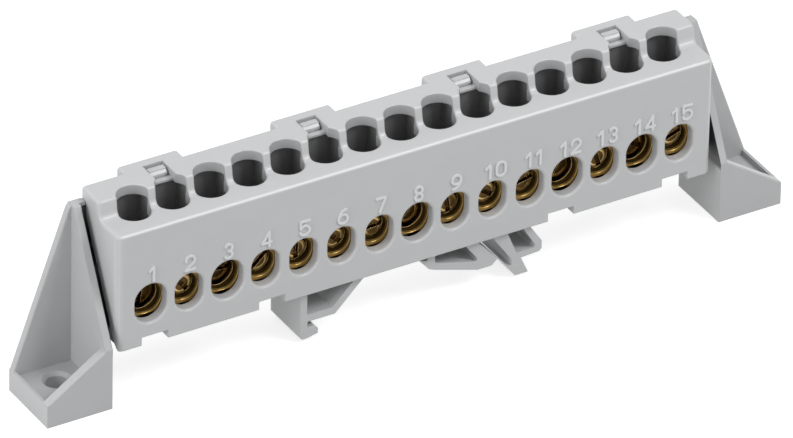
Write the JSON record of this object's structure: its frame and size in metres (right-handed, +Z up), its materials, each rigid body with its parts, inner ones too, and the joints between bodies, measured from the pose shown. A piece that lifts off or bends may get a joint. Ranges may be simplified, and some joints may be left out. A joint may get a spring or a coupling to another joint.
{
  "type": "phase busbar terminal block",
  "caption": "Long moulded terminal block with a drilled brass bar, clamping screws behind numbered openings, a rail clip and two screw-down feet.",
  "frame": {"origin": "on the surface that the feet stand on, under the middle of the overall box", "axes": "+X along the bar from terminal 1 to terminal 15, +Y from the numbered front to the back, +Z up towards the wire entries"},
  "size_m": [0.1268, 0.0142, 0.032],
  "materials": {
    "housing_plastic": "fine satin moulded, light grey",
    "clip_plastic": "satin moulded, light grey",
    "foot_plastic": "fine satin moulded, light grey",
    "bar_brass": "drawn and machined",
    "screw_brass": "turned"
  },
  "bodies": {
    "housing": {"cover": "housing_plastic", "base": "clip_plastic", "busbar": "bar_brass", "left_foot": "foot_plastic", "right_foot": "foot_plastic"},
    "screw_01": {"screw_01": "screw_brass"},
    "screw_02": {"screw_02": "screw_brass"},
    "screw_03": {"screw_03": "screw_brass"},
    "screw_04": {"screw_04": "screw_brass"},
    "screw_05": {"screw_05": "screw_brass"},
    "screw_06": {"screw_06": "screw_brass"},
    "screw_07": {"screw_07": "screw_brass"},
    "screw_08": {"screw_08": "screw_brass"},
    "screw_09": {"screw_09": "screw_brass"},
    "screw_10": {"screw_10": "screw_brass"},
    "screw_11": {"screw_11": "screw_brass"},
    "screw_12": {"screw_12": "screw_brass"},
    "screw_13": {"screw_13": "screw_brass"},
    "screw_14": {"screw_14": "screw_brass"},
    "screw_15": {"screw_15": "screw_brass"}
  },
  "joints": [
    {"name": "screw_01_travel", "type": "slide", "parent": "housing", "child": "screw_01", "axis": [0, -1, 0], "range_m": [-0.0004, 0.00455]},
    {"name": "screw_02_travel", "type": "slide", "parent": "housing", "child": "screw_02", "axis": [0, -1, 0], "range_m": [-0.0015, 0.00345]},
    {"name": "screw_03_travel", "type": "slide", "parent": "housing", "child": "screw_03", "axis": [0, -1, 0], "range_m": [-0.0004, 0.00455]},
    {"name": "screw_04_travel", "type": "slide", "parent": "housing", "child": "screw_04", "axis": [0, -1, 0], "range_m": [-0.0015, 0.00345]},
    {"name": "screw_05_travel", "type": "slide", "parent": "housing", "child": "screw_05", "axis": [0, -1, 0], "range_m": [-0.0015, 0.00345]},
    {"name": "screw_06_travel", "type": "slide", "parent": "housing", "child": "screw_06", "axis": [0, -1, 0], "range_m": [-0.0015, 0.00345]},
    {"name": "screw_07_travel", "type": "slide", "parent": "housing", "child": "screw_07", "axis": [0, -1, 0], "range_m": [-0.0015, 0.00345]},
    {"name": "screw_08_travel", "type": "slide", "parent": "housing", "child": "screw_08", "axis": [0, -1, 0], "range_m": [-0.0004, 0.00455]},
    {"name": "screw_09_travel", "type": "slide", "parent": "housing", "child": "screw_09", "axis": [0, -1, 0], "range_m": [-0.0015, 0.00345]},
    {"name": "screw_10_travel", "type": "slide", "parent": "housing", "child": "screw_10", "axis": [0, -1, 0], "range_m": [-0.0015, 0.00345]},
    {"name": "screw_11_travel", "type": "slide", "parent": "housing", "child": "screw_11", "axis": [0, -1, 0], "range_m": [-0.0015, 0.00345]},
    {"name": "screw_12_travel", "type": "slide", "parent": "housing", "child": "screw_12", "axis": [0, -1, 0], "range_m": [-0.0004, 0.00455]},
    {"name": "screw_13_travel", "type": "slide", "parent": "housing", "child": "screw_13", "axis": [0, -1, 0], "range_m": [-0.0015, 0.00345]},
    {"name": "screw_14_travel", "type": "slide", "parent": "housing", "child": "screw_14", "axis": [0, -1, 0], "range_m": [-0.0004, 0.00455]},
    {"name": "screw_15_travel", "type": "slide", "parent": "housing", "child": "screw_15", "axis": [0, -1, 0], "range_m": [-0.0015, 0.00345]}
  ]
}
